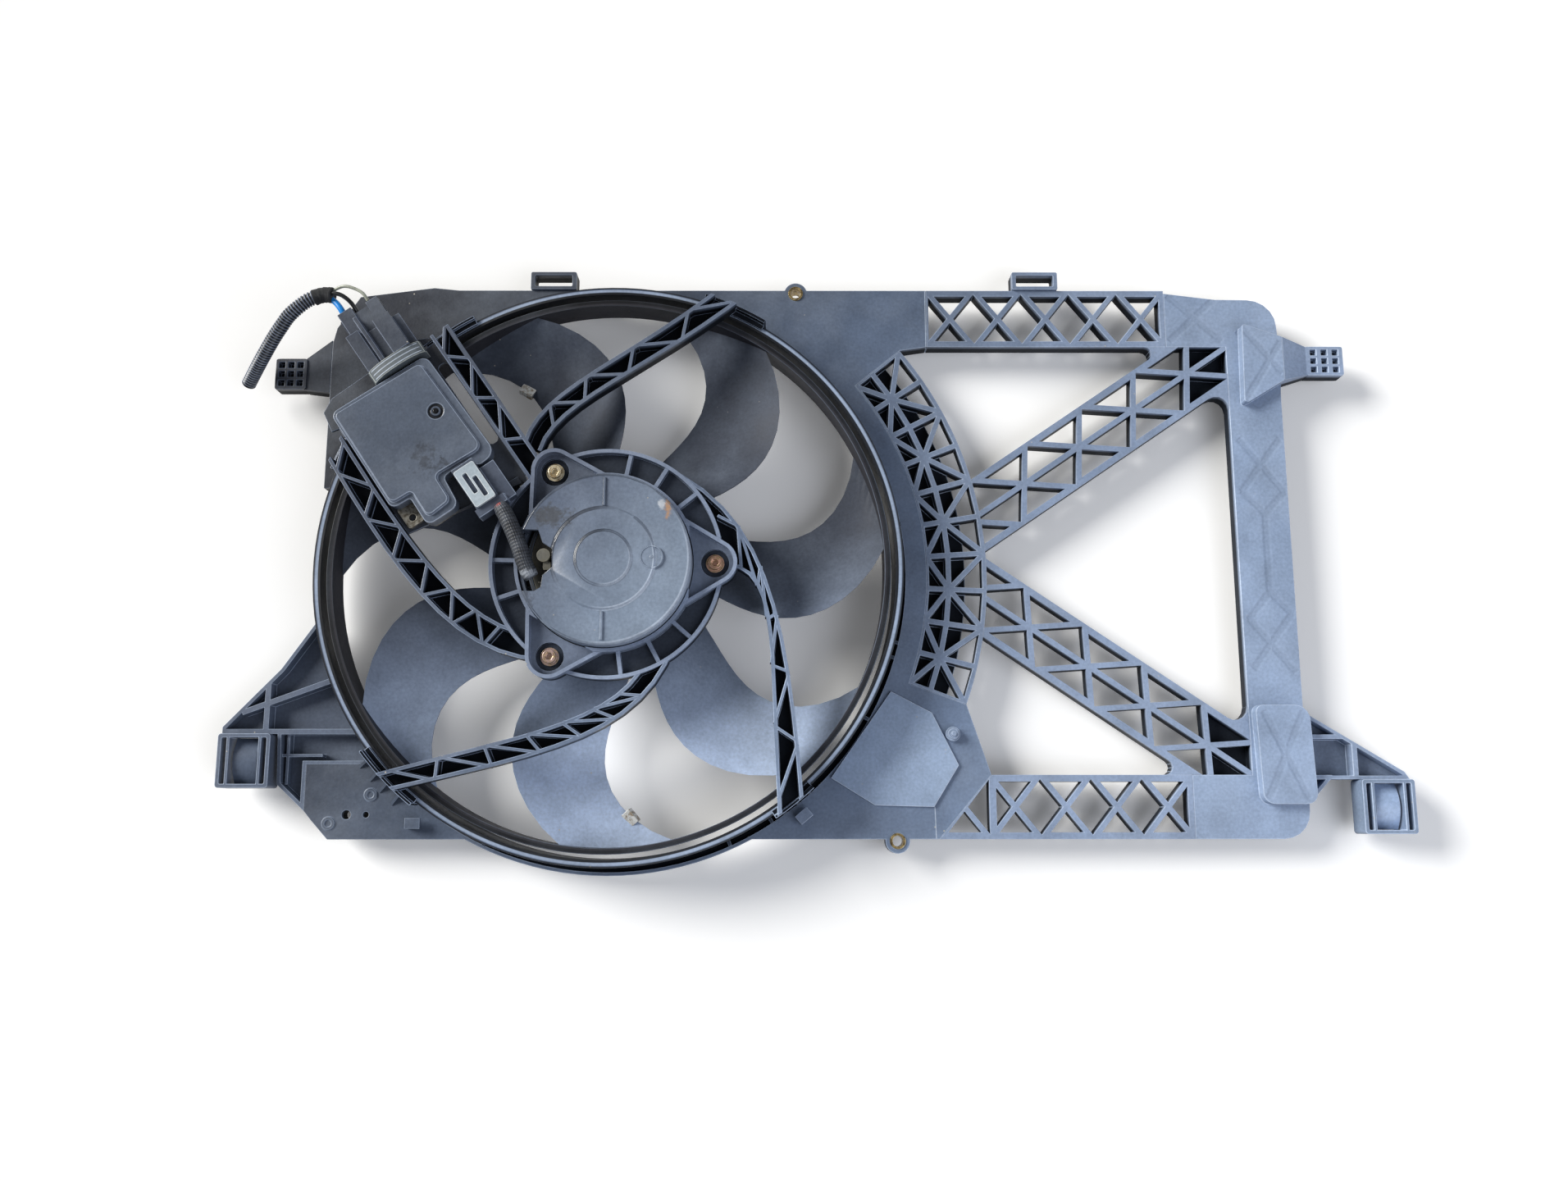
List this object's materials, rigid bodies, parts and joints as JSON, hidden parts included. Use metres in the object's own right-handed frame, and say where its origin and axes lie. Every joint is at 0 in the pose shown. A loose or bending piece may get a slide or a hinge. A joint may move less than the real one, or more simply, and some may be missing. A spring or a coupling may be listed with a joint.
{
  "type": "radiator cooling fan",
  "caption": "Radiator cooling fan with a ribbed lattice frame, channel struts, a banded sickle-blade wheel on a flat motor, and a plug-in speed controller.",
  "frame": {"origin": "on the fan axis, in the seat plane that faces the radiator", "axes": "+X along the radiator towards the plain end of the frame, +Y up, +Z from the radiator towards the engine"},
  "size_m": [0.787, 0.4149, 0.0705],
  "materials": {
    "black_plastic": "glass-filled black plastic, slightly dusty",
    "controller_plastic": "satin black plastic",
    "fan_plastic": "black plastic with brown dust",
    "aluminium": "dull cast",
    "dark_steel": "black coated steel",
    "bright_steel": "bright",
    "zinc_steel": "yellow zinc plated",
    "seal_rubber": "grey-green rubber",
    "latch_plastic": "pale grey plastic",
    "cable_black": "black corrugated or woven sleeve",
    "wire_blue": "insulated wires, one blue",
    "card_board": "brown moulded card",
    "carbon": "dull grey",
    "choke_brown": "wound choke and varnish",
    "copper": "turned copper"
  },
  "bodies": {
    "frame": {"frame_plate": "black_plastic", "fan_lattice": "black_plastic", "top_truss": "black_plastic", "bottom_truss": "black_plastic", "upper_brace": "black_plastic", "lower_brace": "black_plastic", "side_beam": "black_plastic", "left_bracket": "black_plastic", "right_bracket": "black_plastic", "left_peg": "black_plastic", "right_peg": "black_plastic", "left_foot": "black_plastic", "right_foot": "black_plastic", "foot_springs": "black_plastic", "top_clips": "black_plastic", "cover_patch": "black_plastic", "cable_hooks": "black_plastic", "ear_sleeves": "zinc_steel", "fan_ring": "black_plastic", "strut_upper_left": "black_plastic", "strut_upper_right": "black_plastic", "strut_right": "black_plastic", "strut_lower": "black_plastic", "strut_left": "black_plastic", "motor_carrier": "black_plastic", "controller_tray": "black_plastic", "controller_base": "aluminium", "controller_lid": "controller_plastic", "lid_screw": "dark_steel", "main_plug": "controller_plastic", "plug_seal": "seal_rubber", "motor_plug": "controller_plastic", "plug_latch": "latch_plastic", "motor_lead": "cable_black", "harness_wires": "wire_blue", "cable_conduit": "cable_black", "motor_can": "dark_steel", "motor_flange": "dark_steel", "motor_cap": "dark_steel", "brush_card": "card_board", "brushes": "carbon", "lead_choke": "choke_brown", "magnets": "carbon", "front_bearing": "bright_steel", "rear_bearing": "bright_steel", "motor_screws": "zinc_steel"},
    "rotor": {"motor_shaft": "bright_steel", "armature": "dark_steel", "commutator": "copper", "fan_hub": "fan_plastic", "fan_blades": "fan_plastic", "fan_band": "fan_plastic", "hub_nut": "dark_steel", "balance_clips": "bright_steel"}
  },
  "joints": [
    {"name": "fan_spin", "type": "hinge", "parent": "frame", "child": "rotor", "pos_m": [0, 0, 0.03], "axis": [0, 0, 1], "continuous": true}
  ]
}
